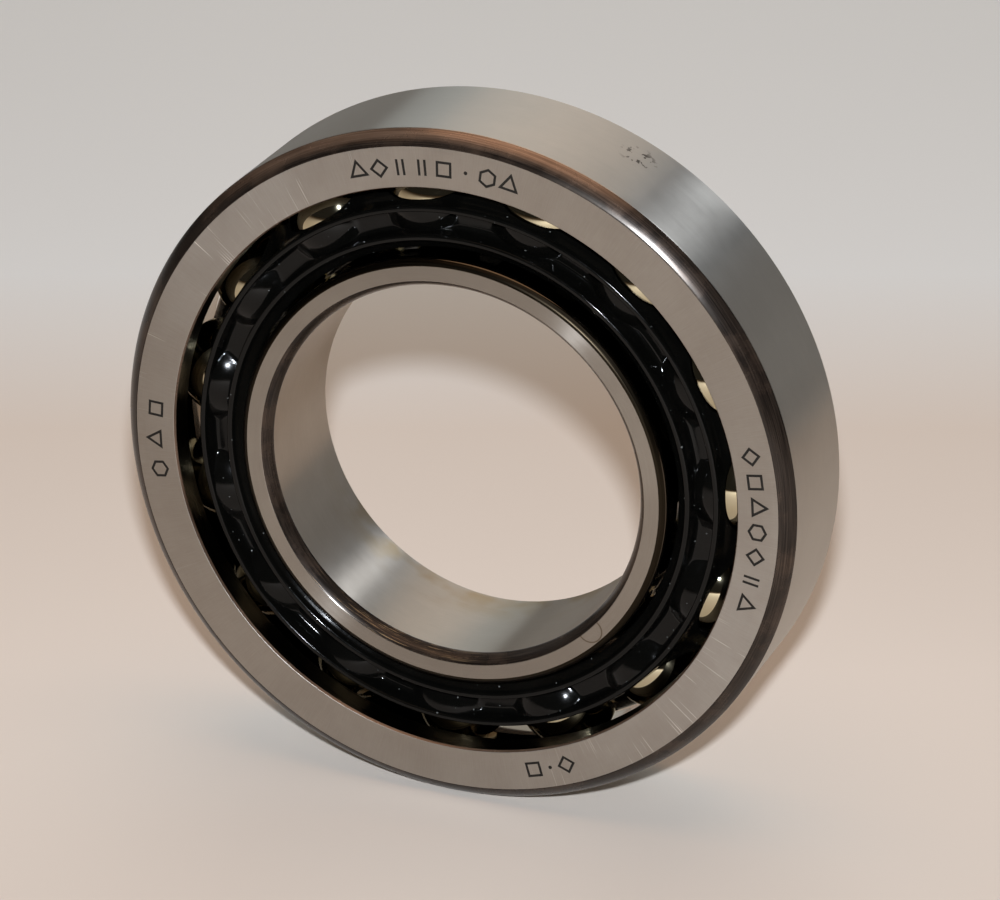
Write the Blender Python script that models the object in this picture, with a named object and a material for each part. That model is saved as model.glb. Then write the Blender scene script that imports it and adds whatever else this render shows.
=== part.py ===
"""Single-row angular contact ball bearing, 55 x 100 x 21 mm, 40 degree contact angle.

The bearing stands on its rim: its axis is +Y, its front face looks along -Y, and its centre is the origin.
Sizes below are in millimetres; the meshes are made in metres.
"""

import math

import bmesh
import bpy
from mathutils import Matrix, Vector

MM = 0.001

# Driving dimensions of the bearing
BORE_RADIUS = 27.5
OUTER_RADIUS = 50.0
WIDTH = 21.0
CONTACT_ANGLE = math.radians(40.0)

# Balls
BALL_COUNT = 15
BALL_RADIUS = 14.288 / 2
PITCH_RADIUS = 38.75
FIRST_BALL_ANGLE = math.radians(2.6)

# Raceways: conformity is the groove radius over the ball diameter
OUTER_CONFORMITY = 0.530
INNER_CONFORMITY = 0.515
RACE_GAP = 0.1  # play left between a ball and each raceway

# Shoulders and chamfers of the outer ring
OUTER_THRUST_LAND = 42.0
OUTER_LOW_LAND = 45.7
OUTER_RELIEF_OPENING = 46.2
OUTER_FRONT_CHAMFER = 2.05
OUTER_BACK_CHAMFER = 1.2
OUTER_EDGE_BREAK = 0.3

# Shoulders and chamfers of the inner ring
INNER_LOW_LAND = 31.83
INNER_FRONT_EDGE = 31.1
INNER_THRUST_LAND = 36.35
INNER_EDGE_BREAK = 0.4
BORE_CHAMFER_RADIAL = 1.2
BORE_CHAMFER_AXIAL = 1.85
BORE_BACK_CHAMFER = 1.5

# Cage
CAGE_FRONT = -9.0
CAGE_BACK = 9.2
CAGE_BORE = 32.5
CAGE_OUTSIDE = 44.2
RIDGE_WIDTH = 0.8
INNER_RIDGE_RADIUS = 34.3
OUTER_RIDGE_RADIUS = 38.45
CHANNEL_FLOOR = -6.0
DOME_WALL = 0.95  # wall of the domes that cover the balls in the channel
DOME_SIDE_WALL = 0.45  # less at their sides, so that neighbouring domes stay apart
POCKET_PLAY = 0.31
CHANNEL_CUT_PROUD = 1.0  # how far the channel's cutter stands out of the front face

# Outline of the cage's section: radii, and places along the axis
FLANGE_SET_BACK = 1.6  # from the front to the inner flange's inner edge
FLANGE_SHOULDER = 0.7  # from the front to the flange's shoulder beside the inner ridge
OUTER_SHOULDER = 2.0  # from the front to the start of the outer cone
OUTER_CONE_END = 2.0
BACK_RIM_START = 4.5
BACK_RIM_STEP = 0.8
BACK_RIM_EDGE_BREAK = 0.5
BACK_OPENING = 39.75
BACK_OPENING_CHAMFER = 0.9
INNER_CONE = ((37.75, 5.8), (33.1, -2.6))  # (radius, y) of its back and front ends
CAGE_BORE_END = -3.6

# Facets
RING_SEGMENTS = 72
CAGE_SEGMENTS = 75
RACE_STEPS = 6
CHAMFER_STEPS = 2
BALL_SUBDIVISIONS = 3
POCKET_SEGMENTS = 16
POCKET_RINGS = 10
ROUND_FACE_ANGLE = math.radians(35.0)
CHAMFER_SET_IN = 0.35  # how far a rounded chamfer is pulled in from its corner, as a share of its size

# Colours
OUTER_RING_COLOUR = (0.56, 0.54, 0.51)
INNER_RING_COLOUR = (0.58, 0.56, 0.52)
BALL_COLOUR = (0.72, 0.72, 0.72)
CAGE_COLOUR = (0.012, 0.012, 0.014)

FRONT = -WIDTH / 2
BACK = WIDTH / 2


def clear_scene():
    for obj in list(bpy.data.objects):
        bpy.data.objects.remove(obj, do_unlink=True)


def steel_material(name, colour, roughness):
    return surface_material(name, colour, roughness, metallic=1.0)


def surface_material(name, colour, roughness, metallic):
    material = bpy.data.materials.new(name)
    material.use_nodes = True
    shader = material.node_tree.nodes["Principled BSDF"]
    shader.inputs["Base Color"].default_value = (*colour, 1.0)
    shader.inputs["Roughness"].default_value = roughness
    shader.inputs["Metallic"].default_value = metallic
    return material


def link_object(name, mesh, material):
    obj = bpy.data.objects.new(name, mesh)
    mesh.materials.append(material)
    bpy.context.scene.collection.objects.link(obj)
    return obj


def shade_round(mesh, angle=ROUND_FACE_ANGLE):
    mesh.shade_smooth()
    mesh.set_sharp_from_angle(angle=angle)


def arc(centre, radius, start, end, steps):
    """Points (radius from the axis, y) on an arc, both ends included; angles are from outward towards +Y."""
    points = []
    for step in range(steps + 1):
        angle = start + (end - start) * step / steps
        points.append((centre[0] + radius * math.cos(angle), centre[1] + radius * math.sin(angle)))
    return points


def corner_round(start, end, corner, steps):
    """Points from start to end along a quadratic curve that is pulled towards the corner."""
    points = []
    for step in range(steps + 1):
        t = step / steps
        weights = ((1 - t) ** 2, 2 * t * (1 - t), t**2)
        ends = (start, corner, end)
        points.append(tuple(sum(weight * end[i] for weight, end in zip(weights, ends)) for i in range(2)))
    return points


def lathe(name, profile, segments):
    """A closed profile of (radius, y) points turned about Y, with a flat facet at the very bottom."""
    half_step = math.pi / segments
    flat_factor = 1.0 / math.cos(half_step)  # puts the facets, not the corners, on the true radius
    body = bmesh.new()
    rings = []
    for segment in range(segments):
        angle = 2 * math.pi * segment / segments + half_step
        ring = []
        for radius, y in profile:
            reach = radius * flat_factor * MM
            ring.append(body.verts.new((reach * math.cos(angle), y * MM, reach * math.sin(angle))))
        rings.append(ring)
    count = len(profile)
    for segment in range(segments):
        here = rings[segment]
        after = rings[(segment + 1) % segments]
        for i in range(count):
            j = (i + 1) % count
            body.faces.new((here[i], here[j], after[j], after[i]))
    bmesh.ops.recalc_face_normals(body, faces=body.faces)
    mesh = bpy.data.meshes.new(name)
    body.to_mesh(mesh)
    body.free()
    return mesh


def groove(conformity, side):
    """Centre and radius of a raceway groove; side is +1 for the outer raceway and -1 for the inner one."""
    radius = 2 * BALL_RADIUS * conformity
    shift = side * (radius - BALL_RADIUS)
    centre = (
        PITCH_RADIUS - shift * math.cos(CONTACT_ANGLE),
        shift * math.sin(CONTACT_ANGLE),
    )
    return centre, radius + RACE_GAP


def outer_race():
    """Raceway of the outer ring, from the thrust land at the front to the low land at the back."""
    centre, radius = groove(OUTER_CONFORMITY, +1)
    start = -math.acos((OUTER_THRUST_LAND - centre[0]) / radius)
    end = math.acos((OUTER_LOW_LAND - centre[0]) / radius)
    return arc(centre, radius, start, end, RACE_STEPS)


def inner_race():
    """Raceway of the inner ring, from the thrust land at the back to the low land at the front."""
    centre, radius = groove(INNER_CONFORMITY, -1)
    start = math.acos((INNER_THRUST_LAND - centre[0]) / radius)
    end = 2 * math.pi - math.acos((INNER_LOW_LAND - centre[0]) / radius)
    return arc(centre, radius, start, end, RACE_STEPS)


def rounded_chamfer(start, end, corner):
    """Points from start to end of a chamfer that bulges towards the corner it removes."""
    inward = [(start[i] + end[i]) / 2 - corner[i] for i in range(2)]
    pull = [corner[i] + 2 * CHAMFER_SET_IN * inward[i] for i in range(2)]
    return corner_round(start, end, pull, CHAMFER_STEPS)


def outer_ring_profile():
    front_round = rounded_chamfer(
        (OUTER_RADIUS - OUTER_FRONT_CHAMFER, FRONT),
        (OUTER_RADIUS, FRONT + OUTER_FRONT_CHAMFER),
        (OUTER_RADIUS, FRONT),
    )
    back_round = rounded_chamfer(
        (OUTER_RADIUS, BACK - OUTER_BACK_CHAMFER),
        (OUTER_RADIUS - OUTER_BACK_CHAMFER, BACK),
        (OUTER_RADIUS, BACK),
    )
    relief = [
        (OUTER_RELIEF_OPENING + OUTER_EDGE_BREAK, BACK),
        (OUTER_RELIEF_OPENING, BACK - OUTER_EDGE_BREAK),
    ]
    front_edge = [
        (OUTER_THRUST_LAND, FRONT + OUTER_EDGE_BREAK),
        (OUTER_THRUST_LAND + OUTER_EDGE_BREAK, FRONT),
    ]
    return front_round + back_round + relief + outer_race()[::-1] + front_edge


def inner_ring_profile():
    bore = [
        (BORE_RADIUS + BORE_BACK_CHAMFER, BACK),
        (BORE_RADIUS, BACK - BORE_BACK_CHAMFER),
        (BORE_RADIUS, FRONT + BORE_CHAMFER_AXIAL),
        (BORE_RADIUS + BORE_CHAMFER_RADIAL, FRONT),
    ]
    front_edge = [
        (INNER_FRONT_EDGE, FRONT),
        (INNER_LOW_LAND, FRONT + INNER_LOW_LAND - INNER_FRONT_EDGE),
    ]
    back_edge = [
        (INNER_THRUST_LAND, BACK - INNER_EDGE_BREAK),
        (INNER_THRUST_LAND - INNER_EDGE_BREAK, BACK),
    ]
    return bore + front_edge + inner_race()[::-1] + back_edge


def cage_profile():
    """Section of the cage before any cuts, from the inner flange round by the front to the back rim."""
    half_ridge = RIDGE_WIDTH / 2
    inner_flange = [
        (CAGE_BORE, CAGE_FRONT + FLANGE_SET_BACK),
        (INNER_RIDGE_RADIUS - 0.8 * RIDGE_WIDTH, CAGE_FRONT + FLANGE_SHOULDER),
    ]
    front_face = [
        (INNER_RIDGE_RADIUS - half_ridge, CAGE_FRONT),
        (OUTER_RIDGE_RADIUS + half_ridge, CAGE_FRONT),
        (OUTER_RIDGE_RADIUS + RIDGE_WIDTH, CAGE_FRONT + OUTER_SHOULDER),
    ]
    outer_cone = [
        (CAGE_OUTSIDE - BACK_RIM_STEP, OUTER_CONE_END),
        (CAGE_OUTSIDE, BACK_RIM_START),
    ]
    back_rim = [
        (CAGE_OUTSIDE, CAGE_BACK - BACK_RIM_EDGE_BREAK),
        (CAGE_OUTSIDE - BACK_RIM_EDGE_BREAK, CAGE_BACK),
        (BACK_OPENING, CAGE_BACK),
        (BACK_OPENING - BACK_OPENING_CHAMFER, CAGE_BACK - BACK_OPENING_CHAMFER),
    ]
    return inner_flange + front_face + outer_cone + back_rim + [*INNER_CONE, (CAGE_BORE, CAGE_BORE_END)]


def channel_profile():
    """Section of the channel between the two ridges; it stands proud of the cage's front face."""
    inner_side = INNER_RIDGE_RADIUS + RIDGE_WIDTH / 2
    outer_side = OUTER_RIDGE_RADIUS - RIDGE_WIDTH / 2
    draft = RIDGE_WIDTH / 4
    return [
        (inner_side, CAGE_FRONT - CHANNEL_CUT_PROUD),
        (outer_side, CAGE_FRONT - CHANNEL_CUT_PROUD),
        (outer_side - draft, CHANNEL_FLOOR),
        (inner_side + draft, CHANNEL_FLOOR),
    ]


def ball_centre(index):
    angle = FIRST_BALL_ANGLE + 2 * math.pi * index / BALL_COUNT
    return Vector((math.cos(angle), 0.0, math.sin(angle))) * PITCH_RADIUS * MM


def ball_turn(index):
    """Turns a shape so that its X axis points from the bearing's centre to this ball."""
    angle = FIRST_BALL_ANGLE + 2 * math.pi * index / BALL_COUNT
    return Matrix.Rotation(-angle, 4, "Y")


def hidden_helper(name, mesh):
    helper = bpy.data.objects.new(name, mesh)
    bpy.context.scene.collection.objects.link(helper)
    helper.hide_render = True
    helper.display_type = "WIRE"
    return helper


def spheres_on_balls(name, axial_radius, side_radius):
    """One hidden mesh with a sphere, or one drawn out along Y, round every ball centre."""
    shape = Matrix.Diagonal((side_radius * MM, axial_radius * MM, side_radius * MM, 1.0))
    spheres = bmesh.new()
    for index in range(BALL_COUNT):
        bmesh.ops.create_uvsphere(
            spheres,
            u_segments=POCKET_SEGMENTS,
            v_segments=POCKET_RINGS,
            radius=1.0,
            matrix=Matrix.Translation(ball_centre(index)) @ ball_turn(index) @ shape,
        )
    mesh = bpy.data.meshes.new(name)
    spheres.to_mesh(mesh)
    spheres.free()
    return hidden_helper(name, mesh)


def cut(obj, name, cutter):
    modifier = obj.modifiers.new(name, "BOOLEAN")
    modifier.operation = "DIFFERENCE"
    modifier.solver = "EXACT"
    modifier.object = cutter


def channel_cutter():
    """The channel, less the domes that stay over the balls."""
    channel = hidden_helper("channel_cutter", lathe("channel_cutter", channel_profile(), CAGE_SEGMENTS))
    pocket_radius = BALL_RADIUS + POCKET_PLAY
    domes = spheres_on_balls("domes", pocket_radius + DOME_WALL, pocket_radius + DOME_SIDE_WALL)
    cut(channel, "domes", domes)
    return channel


def build_outer_ring():
    mesh = lathe("outer_ring", outer_ring_profile(), RING_SEGMENTS)
    shade_round(mesh)
    return link_object("outer_ring", mesh, steel_material("outer_ring_steel", OUTER_RING_COLOUR, 0.30))


def build_inner_ring():
    mesh = lathe("inner_ring", inner_ring_profile(), RING_SEGMENTS)
    shade_round(mesh)
    return link_object("inner_ring", mesh, steel_material("inner_ring_steel", INNER_RING_COLOUR, 0.28))


def build_cage():
    mesh = lathe("cage", cage_profile(), CAGE_SEGMENTS)
    shade_round(mesh)
    cage = link_object("cage", mesh, surface_material("cage_polyamide", CAGE_COLOUR, 0.25, 0.0))
    cut(cage, "channel", channel_cutter())
    pocket_radius = BALL_RADIUS + POCKET_PLAY
    cut(cage, "pockets", spheres_on_balls("pocket_spheres", pocket_radius, pocket_radius))
    return cage


def build_balls():
    sphere = bmesh.new()
    bmesh.ops.create_icosphere(sphere, subdivisions=BALL_SUBDIVISIONS, radius=BALL_RADIUS * MM)
    mesh = bpy.data.meshes.new("ball")
    sphere.to_mesh(mesh)
    sphere.free()
    mesh.shade_smooth()
    mesh.materials.append(steel_material("ball_steel", BALL_COLOUR, 0.06))
    for index in range(BALL_COUNT):
        ball = bpy.data.objects.new(f"ball_{index + 1:02d}", mesh)
        ball.location = ball_centre(index)
        bpy.context.scene.collection.objects.link(ball)


clear_scene()
build_outer_ring()
build_inner_ring()
build_cage()
build_balls()
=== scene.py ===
"""Single-row angular contact ball bearing on its rim: detailed pieces, materials, lights and camera.

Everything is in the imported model's frame: the bearing's axis is +Y, its front face looks along -Y, +Z is up.
Sizes below are in millimetres unless they say otherwise; the meshes are made in metres.
"""

import math

import bmesh
import bpy
from mathutils import Matrix, Vector


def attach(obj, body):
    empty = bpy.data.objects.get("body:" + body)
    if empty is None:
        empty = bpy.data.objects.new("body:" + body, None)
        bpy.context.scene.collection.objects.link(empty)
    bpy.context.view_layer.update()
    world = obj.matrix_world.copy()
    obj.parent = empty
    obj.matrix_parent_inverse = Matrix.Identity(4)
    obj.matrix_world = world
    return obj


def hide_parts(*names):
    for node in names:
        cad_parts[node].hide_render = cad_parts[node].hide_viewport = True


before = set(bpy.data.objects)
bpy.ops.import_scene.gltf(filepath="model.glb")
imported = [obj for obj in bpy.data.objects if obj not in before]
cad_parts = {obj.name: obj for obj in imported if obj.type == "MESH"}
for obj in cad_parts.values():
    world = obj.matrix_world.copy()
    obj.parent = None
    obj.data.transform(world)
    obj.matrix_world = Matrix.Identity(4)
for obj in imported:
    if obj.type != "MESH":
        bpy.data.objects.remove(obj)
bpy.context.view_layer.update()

MM = 0.001

# Driving dimensions of the bearing
BORE_RADIUS = 27.5
OUTER_RADIUS = 50.0
FRONT = -10.5
BACK = 10.5
CONTACT_ANGLE = math.radians(40.0)

# Balls
BALL_COUNT = 15
BALL_RADIUS = 14.288 / 2
PITCH_RADIUS = 38.75
FIRST_BALL_ANGLE = math.radians(2.6)

# Raceway grooves: conformity is the groove radius over the ball diameter
OUTER_CONFORMITY = 0.530
INNER_CONFORMITY = 0.515
RACE_GAP = 0.1  # play left between a ball and each raceway

# Outer ring
OUTER_THRUST_LAND = 42.0
OUTER_LOW_LAND = 45.7
OUTER_RELIEF_OPENING = 46.2
OUTER_FRONT_CHAMFER = 2.05
OUTER_BACK_CHAMFER = 1.2
RELIEF_EDGE = (0.35, 0.5)  # break of the relief's edge at the back face: radial and axial
LAND_EDGE = (0.22, 0.35)  # break of the thrust land's edge at the front face: radial and axial

# Inner ring
INNER_LOW_LAND = 31.83
INNER_FRONT_EDGE = 31.1
INNER_THRUST_LAND = 36.35
BORE_CHAMFER_RADIAL = 1.2
BORE_CHAMFER_AXIAL = 1.85
BORE_BACK_CHAMFER = 1.5
INNER_EDGE_BREAK = 0.4

# Rounds left where two turned surfaces of a ring meet
FINE_ROUND = 0.05
SMALL_ROUND = 0.08
SHOULDER_ROUND = 0.15
LAND_ROUND = 0.3

# Cage
CAGE_FRONT = -9.0
CAGE_BACK = 9.2
CAGE_BORE = 32.5
CAGE_OUTSIDE = 44.2
RIDGE_WIDTH = 0.8
INNER_RIDGE_RADIUS = 34.3
OUTER_RIDGE_RADIUS = 38.45
CHANNEL_FLOOR = -6.0
DOME_WALL = 0.95
DOME_SIDE_WALL = 0.45  # less at their sides, so that neighbouring domes stay apart
DOME_BLEND = 0.35
POCKET_PLAY = 0.31

# Outline of the cage's section: steps from its front or outside, radii, and places along the axis
FLANGE_SET_BACK = 1.6
FLANGE_SHOULDER = 0.7
OUTER_SHOULDER = 2.0
OUTER_CONE_END = 2.0
BACK_RIM_START = 4.5
BACK_RIM_STEP = 0.8
BACK_RIM_EDGE_BREAK = 0.5
BACK_OPENING = INNER_THRUST_LAND + 3.4
BACK_OPENING_CHAMFER = 0.9
INNER_CONE_BACK = (INNER_THRUST_LAND + 1.4, 5.8)
INNER_CONE_FRONT = (CAGE_BORE + 0.6, -2.6)
CAGE_BORE_END = -3.6

# Mesh fineness
RING_SEGMENTS = 384
CAGE_SEGMENTS = 600
LONGEST_CAGE_STRETCH = 0.6
ROUND_STEPS = 6
RACE_STEPS = 40
POCKET_SEGMENTS = 64
SHARP_ANGLE = math.radians(32.0)
CHAMFER_BULGE = 0.325

# Marks etched into the outer ring's front face
MARK_RADIUS = 45.0
MARK_HEIGHT = 2.7
MARK_STROKE = 0.36
MARK_DEPTH = 0.06
MARK_PROUD = 0.5  # how far the marks' cutter stands out of the face
BAR_HEIGHT = 0.85 * MARK_HEIGHT
BAR_STEP = 0.9
DOT_RADIUS = 0.28

# Looks: directions of grinding marks as turns of the anisotropy, and places of single flaws in mm and degrees
RADIAL_MARKS = 0.0
ROUND_MARKS = 0.25
# angle in degrees round which the face's scratches get a painted glint
SCRATCH_GLINT_ANGLE = 139.7
SPECKS_Y = 4.0
SPECKS_ANGLE = 64.0
OIL_DROP_RADIUS = 28.9
OIL_DROP_ANGLE = 316.5
OIL_DROP_REACH = 1.75

# Camera: where it stands round the bearing, and how its frame is centred
CAMERA_AZIMUTH = math.radians(22.2)
CAMERA_ELEVATION = math.radians(24.0)
CAMERA_DISTANCE = 647.0
CAMERA_SIDE_STEP = 3.02
CAMERA_DROP = 0.35
CAMERA_LENS = 166.4

FLOOR_SIZE = 6000.0


# ---------------------------------------------------------------- profiles


def rounded(corners, steps=ROUND_STEPS):
    """Rounds the corners of a closed polygon.

    Each corner is (radius, y, size of its round, surface), and surface names the stretch after it.
    """
    points = []
    count = len(corners)
    for i, (radius, y, size, surface) in enumerate(corners):
        corner = Vector((radius, y))
        if not size:
            points.append((radius, y, surface))
            continue
        before = Vector(corners[i - 1][:2]) - corner
        after = Vector(corners[(i + 1) % count][:2]) - corner
        start = corner + before.normalized() * min(size, 0.45 * before.length)
        end = corner + after.normalized() * min(size, 0.45 * after.length)
        for step in range(steps + 1):
            t = step / steps
            point = start * (1 - t) ** 2 + corner * (2 * t * (1 - t)) + end * t**2
            points.append((point.x, point.y, surface))
    return points


def bulged_chamfer(start, end, outside, surface, steps=12):
    """A chamfer that bulges towards the outside corner, from start up to but not including end."""
    start, end, outside = Vector(start), Vector(end), Vector(outside)
    control = ((start + end) / 2).lerp(outside, CHAMFER_BULGE)
    points = []
    for step in range(steps):
        t = step / steps
        point = start * (1 - t) ** 2 + control * (2 * t * (1 - t)) + end * t**2
        points.append((point.x, point.y, 0, surface))
    return points


def groove(conformity, side):
    """Centre and radius of a raceway groove; side is +1 for the outer raceway and -1 for the inner one."""
    radius = 2 * BALL_RADIUS * conformity
    shift = side * (radius - BALL_RADIUS)
    centre = (
        PITCH_RADIUS - shift * math.cos(CONTACT_ANGLE),
        shift * math.sin(CONTACT_ANGLE),
    )
    return centre, radius + RACE_GAP


def arc(centre, radius, start, end, surface):
    """Points of a raceway's arc, from angle start to angle end."""
    points = []
    for step in range(RACE_STEPS + 1):
        angle = start + (end - start) * step / RACE_STEPS
        point = (centre[0] + radius * math.cos(angle), centre[1] + radius * math.sin(angle))
        points.append((point[0], point[1], 0, surface))
    return points


def outer_race():
    """From the low land at the back to the thrust land at the front."""
    centre, radius = groove(OUTER_CONFORMITY, +1)
    start = math.acos((OUTER_LOW_LAND - centre[0]) / radius)
    end = -math.acos((OUTER_THRUST_LAND - centre[0]) / radius)
    points = arc(centre, radius, start, end, "raceway")
    points[-1] = (*points[-1][:3], "black")
    return points


def inner_race():
    """From the low land at the front to the thrust land at the back."""
    centre, radius = groove(INNER_CONFORMITY, -1)
    start = 2 * math.pi - math.acos((INNER_LOW_LAND - centre[0]) / radius)
    end = math.acos((INNER_THRUST_LAND - centre[0]) / radius)
    return arc(centre, radius, start, end, "raceway")


def outer_ring_profile():
    front_chamfer = bulged_chamfer(
        (OUTER_RADIUS - OUTER_FRONT_CHAMFER, FRONT),
        (OUTER_RADIUS, FRONT + OUTER_FRONT_CHAMFER),
        (OUTER_RADIUS, FRONT),
        "oxide",
    )
    back_chamfer = bulged_chamfer(
        (OUTER_RADIUS, BACK - OUTER_BACK_CHAMFER),
        (OUTER_RADIUS - OUTER_BACK_CHAMFER, BACK),
        (OUTER_RADIUS, BACK),
        "oxide",
    )
    outside = [(OUTER_RADIUS, FRONT + OUTER_FRONT_CHAMFER, SMALL_ROUND, "cylinder")]
    back_face = [
        (OUTER_RADIUS - OUTER_BACK_CHAMFER, BACK, SMALL_ROUND, "face"),
        (OUTER_RELIEF_OPENING + RELIEF_EDGE[0], BACK, FINE_ROUND, "oxide"),
        (OUTER_RELIEF_OPENING, BACK - RELIEF_EDGE[1], FINE_ROUND, "raceway"),
    ]
    front_edge = [
        (OUTER_THRUST_LAND, FRONT + LAND_EDGE[1], FINE_ROUND, "oxide"),
        (OUTER_THRUST_LAND + LAND_EDGE[0], FRONT, FINE_ROUND, "face"),
    ]
    return rounded(front_chamfer + outside + back_chamfer + back_face + outer_race() + front_edge)


def inner_ring_profile():
    front_bore_chamfer = bulged_chamfer(
        (BORE_RADIUS, FRONT + BORE_CHAMFER_AXIAL),
        (BORE_RADIUS + BORE_CHAMFER_RADIAL, FRONT),
        (BORE_RADIUS, FRONT),
        "oxide",
    )
    back_bore_chamfer = bulged_chamfer(
        (BORE_RADIUS + BORE_BACK_CHAMFER, BACK),
        (BORE_RADIUS, BACK - BORE_BACK_CHAMFER),
        (BORE_RADIUS, BACK),
        "oxide",
    )
    bore = [(BORE_RADIUS, BACK - BORE_BACK_CHAMFER, SMALL_ROUND, "bore")]
    front_face = [
        (BORE_RADIUS + BORE_CHAMFER_RADIAL, FRONT, SMALL_ROUND, "face"),
        (INNER_FRONT_EDGE, FRONT, LAND_ROUND, "black"),
        (INNER_LOW_LAND, FRONT + INNER_LOW_LAND - INNER_FRONT_EDGE, LAND_ROUND, "raceway"),
    ]
    back_edge = [
        (INNER_THRUST_LAND, BACK - INNER_EDGE_BREAK, SHOULDER_ROUND, "raceway"),
        (INNER_THRUST_LAND - INNER_EDGE_BREAK, BACK, SHOULDER_ROUND, "face"),
    ]
    return rounded(back_bore_chamfer + bore + front_bore_chamfer + front_face + inner_race() + back_edge)


def cage_profile():
    """Section of the cage, from the inner flange round by the front, with the channel between the ridges.

    Each corner is (radius, y, size of its round).
    """
    half = RIDGE_WIDTH / 2
    crown = 0.9 * half
    corners = [
        (CAGE_BORE, CAGE_FRONT + FLANGE_SET_BACK, 0.35),
        (INNER_RIDGE_RADIUS - 1.6 * half, CAGE_FRONT + FLANGE_SHOULDER, 0.25),
        (INNER_RIDGE_RADIUS - half, CAGE_FRONT, crown),
        (INNER_RIDGE_RADIUS + half, CAGE_FRONT, crown),
        (INNER_RIDGE_RADIUS + 1.5 * half, CHANNEL_FLOOR, 0.7),
        (OUTER_RIDGE_RADIUS - 1.5 * half, CHANNEL_FLOOR, 0.7),
        (OUTER_RIDGE_RADIUS - half, CAGE_FRONT, crown),
        (OUTER_RIDGE_RADIUS + half, CAGE_FRONT, crown),
        (OUTER_RIDGE_RADIUS + 2.0 * half, CAGE_FRONT + OUTER_SHOULDER, 0.5),
        (CAGE_OUTSIDE - BACK_RIM_STEP, OUTER_CONE_END, 0.8),
        (CAGE_OUTSIDE, BACK_RIM_START, 0.8),
        (CAGE_OUTSIDE, CAGE_BACK - BACK_RIM_EDGE_BREAK, 0.3),
        (CAGE_OUTSIDE - BACK_RIM_EDGE_BREAK, CAGE_BACK, 0.3),
        (BACK_OPENING, CAGE_BACK, 0.3),
        (BACK_OPENING - BACK_OPENING_CHAMFER, CAGE_BACK - BACK_OPENING_CHAMFER, 0.5),
        (*INNER_CONE_BACK, 0.5),
        (*INNER_CONE_FRONT, 0.5),
        (CAGE_BORE, CAGE_BORE_END, 0.5),
    ]
    return rounded([(radius, y, size, "plastic") for radius, y, size in corners])


def refine(points, longest):
    """Adds points along straight stretches, so that no stretch is longer than this."""
    fine = []
    for i, (radius, y, surface) in enumerate(points):
        after = points[(i + 1) % len(points)]
        parts = max(1, math.ceil(math.hypot(after[0] - radius, after[1] - y) / longest))
        for part in range(parts):
            t = part / parts
            fine.append((radius + (after[0] - radius) * t, y + (after[1] - y) * t, surface))
    return fine


# ---------------------------------------------------------------- meshes


def lathe(name, points, segments, surfaces, place=None):
    """Turns a closed profile about Y.

    surfaces maps each surface name to its material. place may move points: it turns (radius, y, angle) into
    (radius, y).
    """
    vertices = []
    for segment in range(segments):
        angle = 2 * math.pi * segment / segments
        for radius, y, _ in points:
            if place:
                radius, y = place(radius, y, angle)
            vertices.append((radius * math.cos(angle) * MM, y * MM, radius * math.sin(angle) * MM))
    names = list(surfaces)
    count = len(points)
    faces = []
    slots = []
    for segment in range(segments):
        here = segment * count
        after = (segment + 1) % segments * count
        for i in range(count):
            j = (i + 1) % count
            faces.append((here + i, here + j, after + j, after + i))
            slots.append(names.index(points[i][2]))
    mesh = bpy.data.meshes.new(name)
    mesh.from_pydata(vertices, [], faces)
    for material in surfaces.values():
        mesh.materials.append(material)
    mesh.polygons.foreach_set("material_index", slots)
    face_outwards(mesh)
    return mesh


def face_outwards(mesh):
    """Turns every face's normal to the outside."""
    body = bmesh.new()
    body.from_mesh(mesh)
    bmesh.ops.recalc_face_normals(body, faces=body.faces)
    body.to_mesh(mesh)
    body.free()


def shade_round(obj):
    """Smooth shading that keeps flat faces flat and sharp edges sharp."""
    obj.data.shade_smooth()
    obj.data.set_sharp_from_angle(angle=SHARP_ANGLE)
    flat_faces = obj.modifiers.new("flat_faces", "WEIGHTED_NORMAL")
    flat_faces.keep_sharp = True


def add_object(name, mesh):
    obj = bpy.data.objects.new(name, mesh)
    bpy.context.scene.collection.objects.link(obj)
    return obj


def cut(obj, cutter):
    """Subtracts cutter from obj for good, and removes the cutter."""
    modifier = obj.modifiers.new("cut", "BOOLEAN")
    modifier.operation = "DIFFERENCE"
    modifier.solver = "EXACT"
    modifier.material_mode = "TRANSFER"
    modifier.object = cutter
    bpy.context.view_layer.update()
    evaluated = obj.evaluated_get(bpy.context.evaluated_depsgraph_get())
    whole = bpy.data.meshes.new_from_object(evaluated)
    obj.modifiers.clear()
    obj.data = whole
    bpy.data.objects.remove(cutter, do_unlink=True)


def ball_angle(index):
    return FIRST_BALL_ANGLE + 2 * math.pi * index / BALL_COUNT


def ball_centre(index):
    angle = ball_angle(index)
    return Vector((math.cos(angle), 0.0, math.sin(angle))) * PITCH_RADIUS * MM


def raise_domes(radius, y, angle):
    """Lifts the channel's floor over each ball, blending softly into the floor and the ridges."""
    in_channel = INNER_RIDGE_RADIUS < radius < OUTER_RIDGE_RADIUS and y < CHANNEL_FLOOR + 0.5
    if not in_channel:
        return radius, y
    pitch = 2 * math.pi / BALL_COUNT
    offset = (angle - FIRST_BALL_ANGLE + pitch / 2) % pitch - pitch / 2
    side = radius**2 + PITCH_RADIUS**2 - 2 * radius * PITCH_RADIUS * math.cos(offset)
    reach = BALL_RADIUS + POCKET_PLAY
    inside = 1 - side / (reach + DOME_SIDE_WALL) ** 2
    if inside <= 0:
        return radius, y
    dome = -(reach + DOME_WALL) * math.sqrt(inside)
    return radius, soft_minimum(y, dome, DOME_BLEND)


def soft_minimum(a, b, blend):
    """The smaller of the two, with the step between them rounded over this blend."""
    mix = max(blend - abs(a - b), 0.0) / blend
    return min(a, b) - mix * mix * blend / 4


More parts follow.
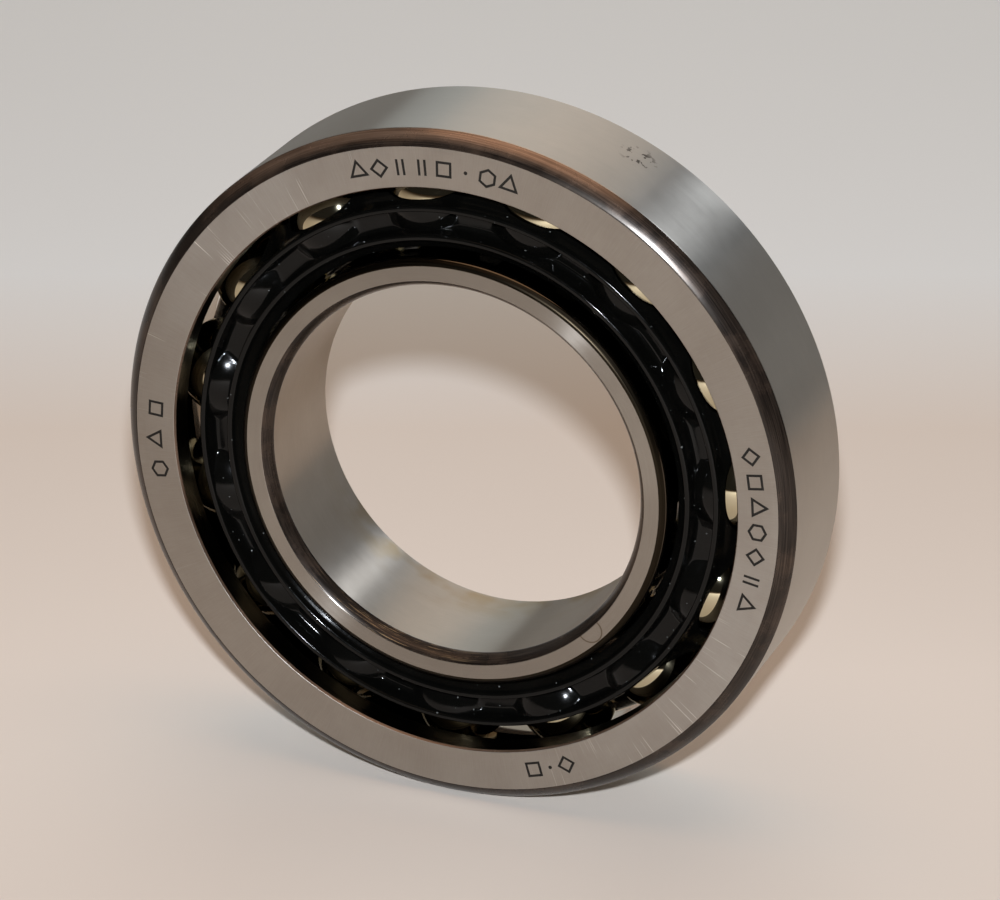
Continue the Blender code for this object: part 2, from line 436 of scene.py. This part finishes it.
def pocket_cutter(material):
    """One mesh with a sphere round every ball, a little larger than the ball."""
    spheres = bmesh.new()
    for index in range(BALL_COUNT):
        turn = Matrix.Rotation(-ball_angle(index), 4, "Y")
        bmesh.ops.create_uvsphere(
            spheres,
            u_segments=POCKET_SEGMENTS,
            v_segments=POCKET_SEGMENTS // 2,
            radius=(BALL_RADIUS + POCKET_PLAY) * MM,
            matrix=Matrix.Translation(ball_centre(index)) @ turn,
        )
    mesh = bpy.data.meshes.new("pockets")
    spheres.to_mesh(mesh)
    spheres.free()
    mesh.materials.append(material)
    return add_object("pockets", mesh)


# ---------------------------------------------------------------- marks


def prism(body, loop, angle):
    """Adds a prism to body: loop is a list of (across, up) points, set at MARK_RADIUS and this angle."""
    rows = []
    for y in (FRONT - MARK_PROUD, FRONT + MARK_DEPTH):
        rows.append([body.verts.new(mark_point(across, up, y, angle)) for across, up in loop])
    count = len(loop)
    for i in range(count):
        j = (i + 1) % count
        body.faces.new((rows[0][i], rows[0][j], rows[1][j], rows[1][i]))
    body.faces.new(rows[0])
    body.faces.new(rows[1])


def tube_prism(body, outer, inner, angle):
    """Adds a prism with a hole: the outline between two loops of equal length."""
    rows = []
    for y in (FRONT - MARK_PROUD, FRONT + MARK_DEPTH):
        for loop in (outer, inner):
            rows.append([body.verts.new(mark_point(across, up, y, angle)) for across, up in loop])
    count = len(outer)
    order = (rows[0], rows[1], rows[3], rows[2])
    for a, b in zip(order, order[1:] + order[:1]):
        for i in range(count):
            j = (i + 1) % count
            body.faces.new((a[i], a[j], b[j], b[i]))


def mark_point(across, up, y, angle):
    """A point of a mark that reads from the front, its top pointing away from the bearing's axis."""
    outward = Vector((math.cos(angle), 0.0, math.sin(angle)))
    right = Vector((math.sin(angle), 0.0, -math.cos(angle)))
    return (outward * (MARK_RADIUS + up) + right * across + Vector((0.0, y, 0.0))) * MM


def regular_loop(sides, reach, turn):
    return [
        (reach * math.cos(turn + 2 * math.pi * i / sides), reach * math.sin(turn + 2 * math.pi * i / sides))
        for i in range(sides)
    ]


def outline_mark(body, angle, sides, turn, enlarge):
    """A regular outline; enlarge makes up for how small a few-sided shape looks in the same circle."""
    reach = MARK_HEIGHT / 2 * enlarge
    thickness = MARK_STROKE / math.cos(math.pi / sides)
    tube_prism(body, regular_loop(sides, reach, turn), regular_loop(sides, reach - thickness, turn), angle)


def bar_mark(body, angle, across, height):
    left, right = across - MARK_STROKE / 2, across + MARK_STROKE / 2
    bottom, top = -height / 2, height / 2
    prism(body, [(left, bottom), (right, bottom), (right, top), (left, top)], angle)


def triangle(body, angle):
    outline_mark(body, angle, 3, math.radians(90), 1.28)


def square(body, angle):
    outline_mark(body, angle, 4, math.radians(45), 1.2)


def diamond(body, angle):
    outline_mark(body, angle, 4, math.radians(0), 1.05)


def hexagon(body, angle):
    outline_mark(body, angle, 6, math.radians(30), 1.05)


def two_bars(body, angle):
    for across in (-BAR_STEP / 2, BAR_STEP / 2):
        bar_mark(body, angle, across, BAR_HEIGHT)


def dot(body, angle):
    prism(body, regular_loop(10, DOT_RADIUS, 0.0), angle)


# Each group: angle of its first mark and angle between marks, in degrees, then the marks in order
MARK_GROUPS = (
    (107.0, -4.05, (triangle, diamond, two_bars, two_bars, square, dot, hexagon, triangle)),
    (188.2, -5.9, (hexagon, triangle, square)),
    (13.2, -4.7, (diamond, square, triangle, hexagon, diamond, two_bars, triangle)),
    (286.4, 3.3, (square, dot, diamond)),
)


def mark_cutter(material):
    body = bmesh.new()
    for first, step, marks in MARK_GROUPS:
        for index, draw in enumerate(marks):
            draw(body, math.radians(first + index * step))
    bmesh.ops.recalc_face_normals(body, faces=body.faces)
    mesh = bpy.data.meshes.new("marks")
    body.to_mesh(mesh)
    body.free()
    mesh.materials.append(material)
    return add_object("marks", mesh)


# ---------------------------------------------------------------- shader nodes


def new_material(name):
    material = bpy.data.materials.new(name)
    material.use_nodes = True
    tree = material.node_tree
    return material, tree, tree.nodes["Principled BSDF"]


def add_node(tree, kind, inputs=None, **settings):
    """Adds a node; each input is a socket to link from, or a value to set."""
    made = tree.nodes.new(kind)
    for key, value in settings.items():
        setattr(made, key, value)
    for key, value in (inputs or {}).items():
        if isinstance(value, bpy.types.NodeSocket):
            tree.links.new(value, made.inputs[key])
        else:
            made.inputs[key].default_value = value
    return made


def calculate(tree, operation, a, b=0.0):
    return add_node(tree, "ShaderNodeMath", {0: a, 1: b}, operation=operation).outputs[0]


def product(tree, first, *others):
    for other in others:
        first = calculate(tree, "MULTIPLY", first, other)
    return first


def weighted_sum(tree, first, first_weight, second, second_weight):
    first_part = calculate(tree, "MULTIPLY", first, first_weight)
    second_part = calculate(tree, "MULTIPLY", second, second_weight)
    return calculate(tree, "ADD", first_part, second_part)


def vector_math(tree, operation, inputs, output="Vector"):
    return add_node(tree, "ShaderNodeVectorMath", inputs, operation=operation).outputs[output]


def remap(tree, value, low, high, to_low, to_high):
    inputs = {"Value": value, "From Min": low, "From Max": high, "To Min": to_low, "To Max": to_high}
    return add_node(tree, "ShaderNodeMapRange", inputs, clamp=True).outputs["Result"]


def mix_colours(tree, share, first, second):
    mixer = add_node(tree, "ShaderNodeMix", data_type="RGBA")
    for index, value in ((0, share), (6, first), (7, second)):
        if isinstance(value, bpy.types.NodeSocket):
            tree.links.new(value, mixer.inputs[index])
        else:
            mixer.inputs[index].default_value = (*value, 1.0) if isinstance(value, tuple) else value
    return mixer.outputs[2]


def noise(tree, vector, scale, detail=2.0, roughness=0.5):
    inputs = {"Vector": vector, "Scale": scale, "Detail": detail, "Roughness": roughness}
    return add_node(tree, "ShaderNodeTexNoise", inputs).outputs["Fac"]


class Polar:
    """Place on a turned piece in millimetres, and the unit direction away from its axis."""

    def __init__(self, tree):
        self.tree = tree
        metres = add_node(tree, "ShaderNodeTexCoord").outputs["Object"]
        self.place = vector_math(tree, "SCALE", {0: metres, "Scale": 1 / MM})
        parts = add_node(tree, "ShaderNodeSeparateXYZ", {0: self.place})
        self.y = parts.outputs["Y"]
        self.z = parts.outputs["Z"]
        flat = vector_math(tree, "MULTIPLY", {0: self.place, 1: (1.0, 0.0, 1.0)})
        self.radius = vector_math(tree, "LENGTH", {0: flat}, "Value")
        self.outward = vector_math(tree, "NORMALIZE", {0: flat})

    def ring_grooves(self, across=9.0, around=6.0):
        """A noise coordinate that changes fast across the grinding marks and slowly along them."""
        section = add_node(self.tree, "ShaderNodeCombineXYZ", {"X": self.radius, "Y": self.y}).outputs[0]
        fast = vector_math(self.tree, "SCALE", {0: section, "Scale": across})
        slow = vector_math(self.tree, "SCALE", {0: self.outward, "Scale": around})
        return vector_math(self.tree, "ADD", {0: fast, 1: slow})

    def radial_scratches(self, fineness=420.0, length=0.35):
        """A noise coordinate for scratches that run out from the axis."""
        around = vector_math(self.tree, "SCALE", {0: self.outward, "Scale": fineness})
        out = calculate(self.tree, "MULTIPLY", self.radius, length)
        along = add_node(self.tree, "ShaderNodeCombineXYZ", {"Y": out}).outputs[0]
        return vector_math(self.tree, "ADD", {0: around, 1: along})

    def towards(self, degrees):
        """1 where the piece faces this angle from +X towards +Z, 0 at right angles to it, -1 opposite."""
        angle = math.radians(degrees)
        direction = (math.cos(angle), 0.0, math.sin(angle))
        return vector_math(self.tree, "DOT_PRODUCT", {0: self.outward, 1: direction}, "Value")

    def distance_to(self, radius, y, degrees):
        """Distance in millimetres to the point at this radius, y and angle."""
        angle = math.radians(degrees)
        point = (radius * math.cos(angle), y, radius * math.sin(angle))
        return vector_math(self.tree, "DISTANCE", {0: self.place, 1: point}, "Value")


def set_colour(tree, shader, share, first, second):
    """Base colour: first where share is 0, second where it is 1."""
    tree.links.new(mix_colours(tree, share, first, second), shader.inputs["Base Color"])


def tint(tree, shader, share, colour):
    """Mixes colour over the base colour that the shader already has."""
    below = shader.inputs["Base Color"].links[0].from_socket
    set_colour(tree, shader, share, below, colour)


def set_roughness(tree, shader, roughness):
    tree.links.new(roughness, shader.inputs["Roughness"])


def set_bump(tree, shader, height, strength, distance_mm):
    inputs = {"Height": height, "Strength": strength, "Distance": distance_mm * MM}
    bump = add_node(tree, "ShaderNodeBump", inputs)
    tree.links.new(bump.outputs["Normal"], shader.inputs["Normal"])


def set_brushed(tree, shader, amount, turn):
    """Stretches highlights across grinding marks that run as turn says: RADIAL_MARKS or ROUND_MARKS."""
    shader.inputs["Anisotropic"].default_value = amount
    shader.inputs["Anisotropic Rotation"].default_value = turn
    tangent = add_node(tree, "ShaderNodeTangent", direction_type="RADIAL", axis="Y")
    tree.links.new(tangent.outputs["Tangent"], shader.inputs["Tangent"])


# ---------------------------------------------------------------- materials


def ground_steel(name, light, dark, roughness, brushed, turn, scratch_share, bump):
    """Ground bearing steel: fine marks round the axis, crossing scratches, and faint stains."""
    material, tree, shader = new_material(name)
    polar = Polar(tree)
    shader.inputs["Metallic"].default_value = 1.0
    grooves = noise(tree, polar.ring_grooves(), 1.0, 4.0, 0.6)
    scratches = noise(tree, polar.radial_scratches(), 1.0, 2.0, 0.6)
    fine = weighted_sum(tree, grooves, 1 - scratch_share, scratches, scratch_share)
    stains = noise(tree, polar.place, 0.11, 4.0, 0.6)
    tone = weighted_sum(tree, fine, 0.45, stains, 0.55)
    set_colour(tree, shader, remap(tree, tone, 0.35, 0.65, 0.0, 1.0), dark, light)
    stained = remap(tree, stains, 0.3, 0.7, -0.01, 0.01)
    marked = remap(tree, fine, 0.3, 0.7, -0.01, 0.01)
    uneven = calculate(tree, "ADD", stained, marked)
    set_roughness(tree, shader, calculate(tree, "ADD", uneven, roughness))
    set_bump(tree, shader, fine, bump, 0.010)
    set_brushed(tree, shader, brushed, turn)
    return material, tree, shader, polar


def scratches_with_painted_glint(tree, polar, shader, glint_facing, fineness):
    """Thin pale scratches that cross the face, with a painted glint: much brighter where the ring faces this
    angle and opposite it.
    """
    lines = remap(tree, noise(tree, polar.radial_scratches(fineness, 0.09), 1.0, 0.0), 0.73, 0.79, 0.0, 1.0)
    patches = remap(tree, noise(tree, polar.place, 0.13, 2.0), 0.46, 0.56, 0.0, 1.0)
    gathered = calculate(tree, "POWER", calculate(tree, "ABSOLUTE", polar.towards(glint_facing)), 8.0)
    strength = remap(tree, gathered, 0.0, 1.0, 0.05, 0.75)
    tint(tree, shader, product(tree, lines, patches, strength), (0.95, 0.92, 0.86))


def face_steel():
    """Outer ring's side faces: cross-ground, with scratches that carry a painted glint."""
    material, tree, shader, polar = ground_steel(
        "ground_face_steel",
        light=(0.395, 0.365, 0.328),
        dark=(0.335, 0.303, 0.268),
        roughness=0.38,
        brushed=0.5,
        turn=RADIAL_MARKS,
        scratch_share=0.75,
        bump=0.30,
    )
    scratches_with_painted_glint(tree, polar, shader, SCRATCH_GLINT_ANGLE, 300.0)
    return material


def inner_face_steel():
    """Inner ring's side faces: ground round the axis, with the edge of a dried oil drop beside the bore."""
    material, tree, shader, polar = ground_steel(
        "inner_face_steel",
        light=(0.345, 0.32, 0.285),
        dark=(0.285, 0.26, 0.23),
        roughness=0.22,
        brushed=1.0,
        turn=ROUND_MARKS,
        scratch_share=0.1,
        bump=0.03,
    )
    distance = polar.distance_to(OIL_DROP_RADIUS, FRONT, OIL_DROP_ANGLE)
    edge = calculate(tree, "ABSOLUTE", calculate(tree, "SUBTRACT", distance, OIL_DROP_REACH))
    tint(tree, shader, remap(tree, edge, 0.02, 0.16, 0.8, 0.0), (0.10, 0.065, 0.035))
    return material


def cylinder_steel():
    """Ground outside of the outer ring, with a few dark specks."""
    material, tree, shader, polar = ground_steel(
        "ground_cylinder_steel",
        light=(0.45, 0.425, 0.385),
        dark=(0.39, 0.365, 0.33),
        roughness=0.31,
        brushed=1.0,
        turn=ROUND_MARKS,
        scratch_share=0.1,
        bump=0.04,
    )
    specks = remap(tree, noise(tree, polar.place, 0.95, 2.0, 0.6), 0.57, 0.60, 0.0, 0.95)
    near = remap(tree, polar.distance_to(OUTER_RADIUS, SPECKS_Y, SPECKS_ANGLE), 1.5, 3.2, 1.0, 0.0)
    tint(tree, shader, product(tree, specks, near), (0.06, 0.05, 0.04))
    return material


def bore_steel():
    """Ground bore with traces of dried yellow oil near its back edge."""
    material, tree, shader, polar = ground_steel(
        "ground_bore_steel",
        light=(0.47, 0.425, 0.37),
        dark=(0.40, 0.355, 0.305),
        roughness=0.33,
        brushed=1.0,
        turn=ROUND_MARKS,
        scratch_share=0.1,
        bump=0.03,
    )
    drops = remap(tree, noise(tree, polar.place, 0.16, 2.0, 0.5), 0.44, 0.60, 0.0, 0.8)
    near_back = remap(tree, polar.y, 1.0, 9.0, 0.0, 1.0)
    low = remap(tree, polar.z, -8.0, -20.0, 0.0, 1.0)
    tint(tree, shader, product(tree, near_back, low, drops), (0.35, 0.26, 0.145))
    return material


def oxide_steel():
    """Chamfers and lands left unground: dark oxide from hardening, copper brown inside; the copper round the
    top, a pale patch on the front chamfer and golden lines low on the bore's chamfers are painted highlights.
    """
    material, tree, shader = new_material("oxide_steel")
    polar = Polar(tree)
    shader.inputs["Metallic"].default_value = 0.55
    patches = noise(tree, polar.place, 0.16, 5.0, 0.6)
    turning = noise(tree, polar.ring_grooves(), 0.8, 3.0, 0.6)
    # copper along the inside edge is oxide; copper round the top is a painted warm highlight
    copper_and_painted_highlight = calculate(tree, "MAXIMUM", painted_warm_highlight_on_top(tree, polar), heat_inside(tree, polar))
    uneven_copper_and_highlight = calculate(tree, "ADD", copper_and_painted_highlight, remap(tree, patches, 0.35, 0.7, -0.12, 0.22))
    lines = remap(tree, turning, 0.40, 0.60, 0.0, 1.0)
    copper = mix_colours(tree, lines, (0.130, 0.078, 0.050), (0.235, 0.152, 0.104))
    dark = mix_colours(tree, lines, (0.013, 0.009, 0.007), (0.040, 0.029, 0.022))
    set_colour(tree, shader, remap(tree, uneven_copper_and_highlight, 0.0, 1.0, 0.0, 1.0), dark, copper)
    # painted highlight on the front chamfer
    tint(tree, shader, painted_highlight_share(tree, polar), (0.20, 0.18, 0.16))
    # painted glints on the bore's chamfers
    tint(tree, shader, painted_glint_lines_share(tree, polar, turning), (0.50, 0.33, 0.17))
    set_roughness(tree, shader, remap(tree, patches, 0.3, 0.7, 0.20, 0.32))
    set_bump(tree, shader, turning, 0.3, 0.02)
    set_brushed(tree, shader, 0.5, ROUND_MARKS)
    return material


def painted_warm_highlight_on_top(tree, polar):
    """Copper colour beside the outer ring's rim, strongest near the top: a painted warm highlight."""
    near_rim = remap(tree, polar.radius, OUTER_RADIUS - 1.5, OUTER_RADIUS - 0.6, 0.0, 1.0)
    top = remap(tree, polar.towards(97.0), 0.72, 0.98, 0.0, 1.0)
    return product(tree, near_rim, top)


def heat_inside(tree, polar):
    """Copper colour along the outer ring's front inside edge."""
    from_inside = remap(tree, polar.radius, OUTER_THRUST_LAND - 1.0, OUTER_THRUST_LAND - 0.5, 0.0, 0.7)
    to_face = remap(tree, polar.radius, OUTER_THRUST_LAND + 1.0, OUTER_THRUST_LAND + 0.5, 0.0, 1.0)
    return product(tree, from_inside, to_face)


def painted_highlight_share(tree, polar):
    """Paler steel on the front chamfer's face side towards the upper right: a painted highlight where the
    flash glints.
    """
    near_face = remap(tree, polar.radius, OUTER_RADIUS - 1.75, OUTER_RADIUS - 1.3, 0.35, 0.0)
    upper_right = remap(tree, polar.towards(55.0), 0.94, 0.99, 0.0, 1.0)
    return product(tree, near_face, upper_right)


def painted_glint_lines_share(tree, polar, turning):
    """Golden lines on the turning marks, low on the bore's chamfers: painted glints."""
    lines = remap(tree, turning, 0.59, 0.64, 0.0, 0.6)
    low = remap(tree, polar.towards(250.0), 0.86, 0.97, 0.0, 1.0)
    in_bore = remap(tree, polar.radius, BORE_RADIUS + 3.0, BORE_RADIUS + 2.0, 0.0, 1.0)
    return product(tree, lines, low, in_bore)


def black_oxide_steel():
    """Thrust land of the outer ring and the edge beside the inner raceway: black oxide."""
    material, tree, shader = new_material("black_oxide_steel")
    polar = Polar(tree)
    shader.inputs["Metallic"].default_value = 1.0
    turning = noise(tree, polar.ring_grooves(), 0.8, 3.0, 0.6)
    set_colour(tree, shader, turning, (0.010, 0.008, 0.005), (0.034, 0.026, 0.017))
    set_roughness(tree, shader, remap(tree, turning, 0.3, 0.7, 0.25, 0.4))
    set_bump(tree, shader, turning, 0.2, 0.02)
    return material


def raceway_steel():
    """Honed raceways and lands, mirror bright at the back and darker towards the front as painted shade."""
    material, tree, shader = new_material("honed_raceway_steel")
    polar = Polar(tree)
    shader.inputs["Metallic"].default_value = 1.0
    marks = noise(tree, polar.ring_grooves(), 1.4, 3.0, 0.6)
    film = noise(tree, polar.place, 0.2, 3.0, 0.5)
    set_colour(tree, shader, film, (0.26, 0.22, 0.17), (0.42, 0.38, 0.31))
    # painted shade: the raceways darken towards the front
    tint(tree, shader, remap(tree, polar.y, -1.0, 2.0, 0.85, 0.0), (0.05, 0.04, 0.03))
    set_roughness(tree, shader, remap(tree, film, 0.3, 0.7, 0.05, 0.10))
    set_bump(tree, shader, marks, 0.05, 0.006)
    return material


def etched_steel():
    """Floor and walls of the etched marks."""
    material, tree, shader = new_material("etched_steel")
    polar = Polar(tree)
    shader.inputs["Metallic"].default_value = 0.6
    grain = noise(tree, polar.place, 12.0, 3.0, 0.6)
    set_colour(tree, shader, grain, (0.006, 0.005, 0.004), (0.024, 0.020, 0.016))
    set_roughness(tree, shader, remap(tree, grain, 0.3, 0.7, 0.45, 0.7))
    set_bump(tree, shader, grain, 0.4, 0.02)
    return material


def cage_plastic():
    """Glossy black moulded polyamide: soft flow ripples, tiny pits, dull patches, and pale specks that are
    partly dust and partly painted sparkle.
    """
    material, tree, shader = new_material("cage_polyamide")
    polar = Polar(tree)
    flow = noise(tree, polar.place, 0.22, 3.0, 0.5)
    grain = noise(tree, polar.place, 5.0, 3.0, 0.6)
    dust_and_painted_sparkle = noise(tree, polar.place, 2.2, 0.0)
    set_colour(tree, shader, flow, (0.0012, 0.0012, 0.0010), (0.0030, 0.0029, 0.0025))
    # pale specks: partly dust, partly painted sparkle
    tint(tree, shader, remap(tree, dust_and_painted_sparkle, 0.845, 0.875, 0.0, 0.5), (0.22, 0.23, 0.22))
    dull = remap(tree, flow, 0.35, 0.7, 0.06, 0.17)
    pitted = remap(tree, grain, 0.3, 0.7, -0.02, 0.04)
    set_roughness(tree, shader, calculate(tree, "ADD", dull, pitted))
    shader.inputs["IOR"].default_value = 1.30
    set_bump(tree, shader, weighted_sum(tree, flow, 3.0, grain, 0.15), 0.25, 0.05)
    return material


def ball_steel():
    """Lapped balls: mirror polish with hair scratches and a thin uneven film of yellow oil."""
    material, tree, shader = new_material("polished_ball_steel")
    polar = Polar(tree)
    shader.inputs["Metallic"].default_value = 1.0
    film = noise(tree, polar.place, 0.3, 3.0, 0.5)
    hair = noise(tree, polar.place, 9.0, 4.0, 0.7)
    set_colour(tree, shader, film, (0.52, 0.46, 0.30), (0.58, 0.53, 0.39))
    set_roughness(tree, shader, remap(tree, film, 0.3, 0.7, 0.03, 0.07))
    set_bump(tree, shader, hair, 0.03, 0.003)
    return material


def floor_paper():
    """Pale paper: warm round the bearing, cooler far behind it, and a little darker in front as painted shade.
    """
    material, tree, shader = new_material("pale_floor")
    place = add_node(tree, "ShaderNodeTexCoord").outputs["Object"]
    soft = noise(tree, place, 9.0, 3.0, 0.5)
    warm = mix_colours(tree, soft, (0.71, 0.635, 0.565), (0.74, 0.67, 0.60))
    cool = mix_colours(tree, soft, (0.79, 0.825, 0.835), (0.81, 0.845, 0.855))
    away = vector_math(tree, "DOT_PRODUCT", {0: place, 1: (-0.378, 0.926, 0.0)}, "Value")
    # painted shade: the paper is darker in front of the bearing
    front = remap(tree, away, 0.03, -0.06, 0.0, 1.0)
    near = mix_colours(tree, front, warm, (0.60, 0.535, 0.47))
    set_colour(tree, shader, remap(tree, away, 0.12, 0.19, 0.0, 1.0), near, cool)
    shader.inputs["Roughness"].default_value = 0.85
    set_bump(tree, shader, noise(tree, place, 900.0, 3.0, 0.6), 0.1, 0.05)
    return material


# ---------------------------------------------------------------- pieces


def build_outer_ring():
    surfaces = {
        "face": face_steel(),
        "cylinder": cylinder_steel(),
        "oxide": oxide_steel(),
        "black": black_oxide_steel(),
        "raceway": raceway_steel(),
    }
    mesh = lathe("outer_ring_turned", outer_ring_profile(), RING_SEGMENTS, surfaces)
    ring = add_object("outer_ring_turned", mesh)
    cut(ring, mark_cutter(etched_steel()))
    shade_round(ring)
    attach(ring, "outer_ring")
    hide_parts("outer_ring")
    return surfaces


def build_inner_ring(shared):
    surfaces = {
        "face": inner_face_steel(),
        "bore": bore_steel(),
        "black": shared["black"],
        "oxide": shared["oxide"],
        "raceway": shared["raceway"],
    }
    mesh = lathe("inner_ring_turned", inner_ring_profile(), RING_SEGMENTS, surfaces)
    ring = add_object("inner_ring_turned", mesh)
    shade_round(ring)
    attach(ring, "inner_ring")
    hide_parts("inner_ring")


def build_cage():
    plastic = cage_plastic()
    points = refine(cage_profile(), LONGEST_CAGE_STRETCH)
    mesh = lathe("cage_moulded", points, CAGE_SEGMENTS, {"plastic": plastic}, raise_domes)
    cage = add_object("cage_moulded", mesh)
    cut(cage, pocket_cutter(plastic))
    shade_round(cage)
    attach(cage, "cage")
    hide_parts("cage")


def build_balls():
    steel = ball_steel()
    sphere = bmesh.new()
    bmesh.ops.create_icosphere(sphere, subdivisions=5, radius=BALL_RADIUS * MM)
    mesh = bpy.data.meshes.new("ball_lapped")
    sphere.to_mesh(mesh)
    sphere.free()
    mesh.shade_smooth()
    mesh.materials.append(steel)
    for index in range(BALL_COUNT):
        node = f"ball_{index + 1:02d}"
        ball = add_object(f"{node}_lapped", mesh)
        ball.location = ball_centre(index)
        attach(ball, node)
        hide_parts(node)


# ---------------------------------------------------------------- stage


def build_floor():
    half = FLOOR_SIZE / 2 * MM
    level = -OUTER_RADIUS * MM
    corners = [(x * half, y * half, level) for x, y in ((-1, -1), (1, -1), (1, 1), (-1, 1))]
    mesh = bpy.data.meshes.new("floor")
    mesh.from_pydata(corners, [], [(0, 1, 2, 3)])
    mesh.materials.append(floor_paper())
    add_object("floor", mesh)


def view_axes():
    """The camera's right, up and backward directions."""
    azimuth, elevation = CAMERA_AZIMUTH, CAMERA_ELEVATION
    right = Vector((math.cos(azimuth), math.sin(azimuth), 0.0))
    back = Vector(
        (
            math.sin(azimuth) * math.cos(elevation),
            -math.cos(azimuth) * math.cos(elevation),
            math.sin(elevation),
        )
    )
    return right, back.cross(right), back


def build_camera():
    right, up, back = view_axes()
    data = bpy.data.cameras.new("camera")
    data.lens = CAMERA_LENS
    data.sensor_width = 36.0
    data.clip_start = 0.01
    data.clip_end = 100.0
    camera = bpy.data.objects.new("camera", data)
    camera.location = (back * CAMERA_DISTANCE + right * CAMERA_SIDE_STEP - up * CAMERA_DROP) * MM
    camera.rotation_mode = "QUATERNION"
    camera.rotation_quaternion = (-back).to_track_quat("-Z", "Y")
    bpy.context.scene.collection.objects.link(camera)
    bpy.context.scene.camera = camera


def area_light(name, place_mm, size_mm, power, colour, aim=(0.0, 0.0, 0.0)):
    data = bpy.data.lights.new(name, "AREA")
    data.shape = "DISK"
    data.size = size_mm * MM
    data.energy = power
    data.color = colour
    light = bpy.data.objects.new(name, data)
    light.location = Vector(place_mm) * MM
    light.rotation_mode = "QUATERNION"
    light.rotation_quaternion = (Vector(aim) * MM - light.location).to_track_quat("-Z", "Y")
    bpy.context.scene.collection.objects.link(light)


def build_lights():
    """A small hard flash above the lens, a warm soft light overhead, and pale light from behind."""
    right, up, back = view_axes()
    near_lens = back * CAMERA_DISTANCE + right * CAMERA_SIDE_STEP
    area_light("flash", near_lens + up * 50.0, 24.0, 5.6, (0.86, 0.92, 1.0))
    area_light("overhead_warm", (0.0, 60.0, 1000.0), 1000.0, 3.9, (1.0, 0.66, 0.43))
    area_light("back_fill", (-210.0, 850.0, 650.0), 1000.0, 2.3, (0.84, 0.95, 1.0), (-110.0, 480.0, -50.0))
    area_light("back_card", (-500.0, 1000.0, 250.0), 1200.0, 1.9, (1.0, 0.97, 0.92))
    area_light("side_card", (800.0, 1000.0, 100.0), 900.0, 1.0, (1.0, 0.97, 0.94))


def build_world():
    """An almost dark room, so that the polished pieces stay black where no lit surface faces them."""
    world = bpy.data.worlds.new("dim_room")
    world.use_nodes = True
    background = world.node_tree.nodes["Background"]
    background.inputs["Color"].default_value = (1.0, 0.92, 0.84, 1.0)
    background.inputs["Strength"].default_value = 0.02
    bpy.context.scene.world = world


bpy.context.scene.view_settings.view_transform = "Standard"
ring_surfaces = build_outer_ring()
build_inner_ring(ring_surfaces)
build_cage()
build_balls()
build_floor()
build_camera()
build_lights()
build_world()
